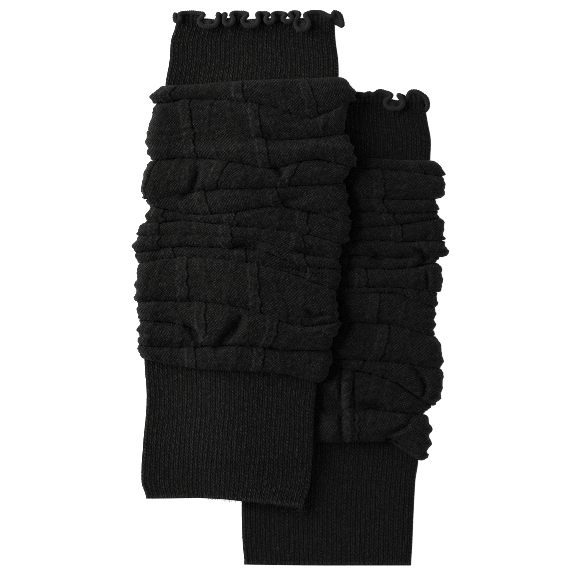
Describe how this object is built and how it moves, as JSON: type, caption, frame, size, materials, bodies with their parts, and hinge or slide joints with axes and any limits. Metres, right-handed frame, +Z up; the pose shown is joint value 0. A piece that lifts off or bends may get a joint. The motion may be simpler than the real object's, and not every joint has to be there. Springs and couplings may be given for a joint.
{
  "type": "pair of leg warmers",
  "caption": "Pair of black knit leg warmers laid flat, one partly over the other: lettuce edge, ribbed cuffs and a scrunched patterned body.",
  "frame": {"origin": "centre of the overall box, on the surface that the pair rests on", "axes": "+Z up from that surface; +Y along the legs towards the lettuce edges; +X from the upper (left) leg warmer to the lower (right) one"},
  "size_m": [0.2087, 0.3713, 0.0262],
  "materials": {
    "left_lettuce_edge": "matte black knit with a rolled rim",
    "left_top_cuff": "matte black rib knit",
    "left_body": "matte black patterned knit",
    "left_lower_cuff": "matte black rib knit",
    "right_lettuce_edge": "matte black knit with a rolled rim",
    "right_top_cuff": "matte black rib knit",
    "right_body": "matte black patterned knit",
    "right_lower_cuff": "matte black rib knit"
  },
  "bodies": {
    "root": {"left_lettuce_edge": "left_lettuce_edge", "left_top_cuff": "left_top_cuff", "left_body": "left_body", "left_lower_cuff": "left_lower_cuff", "right_lettuce_edge": "right_lettuce_edge", "right_top_cuff": "right_top_cuff", "right_body": "right_body", "right_lower_cuff": "right_lower_cuff"}
  },
  "joints": []
}
